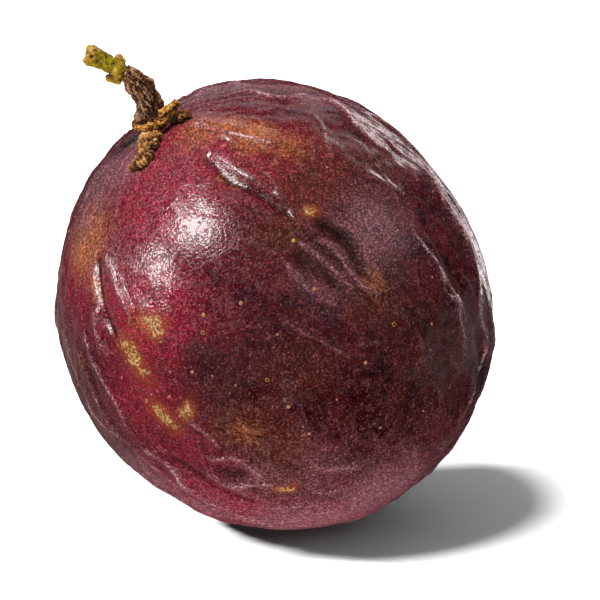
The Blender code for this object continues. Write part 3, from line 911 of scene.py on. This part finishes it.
# How far each is pressed down to the rind, and how much bigger its crumbs make it, in millimetres.
SEPAL_LOOKS = {
    "dried_sepal_strap": (golden_sepal, 0.10, 0.02),
    "dried_sepal_lump": (grainy_sepal, 0.24, 0.20),
    "dried_sepal_tongue": (grainy_sepal, 0.24, 0.32),
    "dried_sepal_side": (brown_sepal, 0.22, 0.05),
    "dried_sepal_back": (brown_sepal, 0.22, 0.05),
}
for seed, (node, (material, drop, bigger)) in enumerate(SEPAL_LOOKS.items()):
    sepal = fine_copy(node, 0.05, 4)
    bare = to_own(coordinates(sepal.data))
    out = normals(sepal.data) @ np.array(lean)
    clumps = noise_at(bare, 0.9, 40 + seed)
    crumbs = noise_at(bare, 0.36, 50 + seed)
    specks = noise_at(bare, 0.18, 70 + seed)
    pits = -np.clip(PIT_WIDTH - np.abs(noise_at(bare, 0.5, 60 + seed)), 0, 1) / PIT_WIDTH
    sepal_relief = 0.26 * clumps + 0.24 * crumbs + 0.14 * specks + 0.20 * pits
    bare += out * (sepal_relief + bigger)[:, None]
    bare[:, 2] -= drop
    set_coordinates(sepal.data, from_own(bare))
    add_attribute(sepal.data, "relief", sepal_relief)
    finish_piece(sepal, material, node)

# ---------------------------------------------------------------------------------------------
# Floor, light and camera
# A wide pale matt floor lies just under the flat spot. It isn't seen in the rind and throws no
# light up, because cards below the fruit do that. A long lens looks down on it a little.
# ---------------------------------------------------------------------------------------------

FLOOR_SIZE = 6.0
FLOOR_HEIGHT = -0.02 * MM
deselect()
bpy.ops.mesh.primitive_plane_add(size=FLOOR_SIZE, location=(0, 0, FLOOR_HEIGHT))
floor = bpy.context.object
floor.name = "floor"
pale_floor, tree, shader = new_material("pale_matt_floor")
shader.inputs["Base Color"].default_value = linear("#f2f2f2")
shader.inputs["Roughness"].default_value = 0.9
floor.data.materials.append(pale_floor)
floor.visible_glossy = False
floor.visible_diffuse = False
floor.visible_shadow = False
floor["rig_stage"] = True

scene = bpy.context.scene
world = bpy.data.worlds.new("white_studio")
world.use_nodes = True
world.node_tree.nodes["Background"].inputs["Color"].default_value = (1.0, 1.0, 1.0, 1.0)
world.node_tree.nodes["Background"].inputs["Strength"].default_value = 0.015
scene.world = world
scene.view_settings.view_transform = "Standard"
scene.view_settings.look = "None"


def aim(obj, target):
    obj.rotation_euler = (Vector(target) - obj.location).to_track_quat("-Z", "Y").to_euler()


def add_light(name, kind, toward, power, size, receivers, tint=(1.0, 1.0, 1.0)):
    """A sun (size is its angle) or a card (size is its width and height) that faces the fruit."""
    data = bpy.data.lights.new(name, kind)
    data.energy = power
    data.color = tint
    if kind == "SUN":
        data.angle = size
    else:
        data.shape = "RECTANGLE"
        data.size, data.size_y = size
    obj = bpy.data.objects.new(name, data)
    obj.location = middle + Vector(toward).normalized() * LIGHT_AWAY
    aim(obj, middle)
    obj.visible_camera = False
    bpy.context.collection.objects.link(obj)
    lit = bpy.data.collections.new(name + "_receivers")
    for receiver in receivers:
        lit.objects.link(receiver)
    obj.light_linking.receiver_collection = lit
    return obj


# A high key sun on the left shades the fruit, and its twin lights only the floor. A low sun also
# washes the floor, so the shadow is darkest where both are hidden. Wide suns stand for the sky.
LIGHT_AWAY = 0.5
KEY_FROM = (-0.38, -0.36, 1.30)
KEY_POWER = 3.8
KEY_ANGLE = radians(12.0)
key = add_light("key_sun", "SUN", KEY_FROM, KEY_POWER, KEY_ANGLE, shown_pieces())
floor_key = add_light("floor_key", "SUN", KEY_FROM, KEY_POWER, KEY_ANGLE, [floor])
key.visible_glossy = False
wash = add_light("floor_wash", "SUN", (-0.87, 0.0, 0.50), 7.6, radians(10.0), [floor])
sky = add_light("floor_sky", "SUN", (0.25, 0.10, 1.0), 1.08, radians(130.0), [floor])
# The rind sends no coloured light to the floor, so the shadow stays a neutral grey. The floor's
# suns then count by shadow rays only, because bounced rays would go through the rind.
rind.visible_diffuse = False
for sun in (floor_key, wash, sky):
    sun.data.cycles.use_multiple_importance_sampling = False
add_light("piece_sky", "SUN", (0.0, -0.50, 0.85), 0.30, radians(170.0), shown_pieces())

# These only give highlights: a softbox and a low slanting card in front on the left, a wide card
# high behind, and a narrow one behind on the right that lines the rim.
ROSY = (1.0, 0.88, 0.90)
softbox = add_light("softbox", "AREA", (-0.552, -0.500, 0.667), 1.9, (0.20, 0.145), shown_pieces())
low_card = add_light("low_card", "AREA", (-0.838, -0.450, 0.290), 0.9, (0.085, 0.16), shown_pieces())
top_card = add_light("top_card", "AREA", (0.10, 0.80, 0.60), 0.30, (0.60, 0.30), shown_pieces())
rim_card = add_light("rim_card", "AREA", (0.46, 0.87, 0.18), 0.36, (0.09, 0.38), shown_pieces(), ROSY)
low_card.rotation_euler.rotate_axis("Z", radians(35.0))
# The stem doesn't stand in the softbox's way, so no part of the highlight is cut off.
in_the_way = bpy.data.collections.new("softbox_blockers")
in_the_way.objects.link(rind)
softbox.light_linking.blocker_collection = in_the_way
for card in (softbox, low_card, top_card, rim_card):
    card.visible_diffuse = False

# Light that comes back up from the floor: two cards below the fruit for its shading, and two that
# lie on the floor for the shine along its lower edges.
left_bounce = add_light("left_bounce", "AREA", (-0.35, -0.55, -0.85), 2.5, (0.20, 0.20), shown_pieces())
right_bounce = add_light("right_bounce", "AREA", (0.80, -0.30, -0.55), 1.0, (0.20, 0.20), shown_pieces())
for card in (left_bounce, right_bounce):
    card.visible_glossy = False
ROSIER = (1.0, 0.85, 0.88)
for name, power, size, at in (
        ("left_floor_shine", 0.05, (0.29, 0.45), (-160 * MM, 0.0, 0.5 * MM)),
        ("right_floor_shine", 0.09, (0.30, 0.40), (210 * MM, 150 * MM, 0.5 * MM))):
    card = add_light(name, "AREA", (0.0, 0.0, -1.0), power, size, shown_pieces(), ROSIER)
    card.location = at
    card.rotation_euler = (radians(180.0), 0.0, 0.0)
    card.visible_diffuse = False

ELEVATION = radians(14.0)
CAMERA_AWAY = 0.60
toward_camera = Vector((0.0, -cos(ELEVATION), sin(ELEVATION)))
camera_up = Vector((0.0, sin(ELEVATION), cos(ELEVATION)))
look_at = middle + Vector((3.16 * MM, 0.0, 0.0)) + camera_up * (0.8 * MM)
camera_data = bpy.data.cameras.new("camera")
camera_data.lens = 300.0
camera_data.sensor_width = 36.0
camera_data.clip_start = 0.01
camera = bpy.data.objects.new("camera", camera_data)
camera.location = look_at + toward_camera * CAMERA_AWAY
aim(camera, look_at)
bpy.context.collection.objects.link(camera)
scene.camera = camera
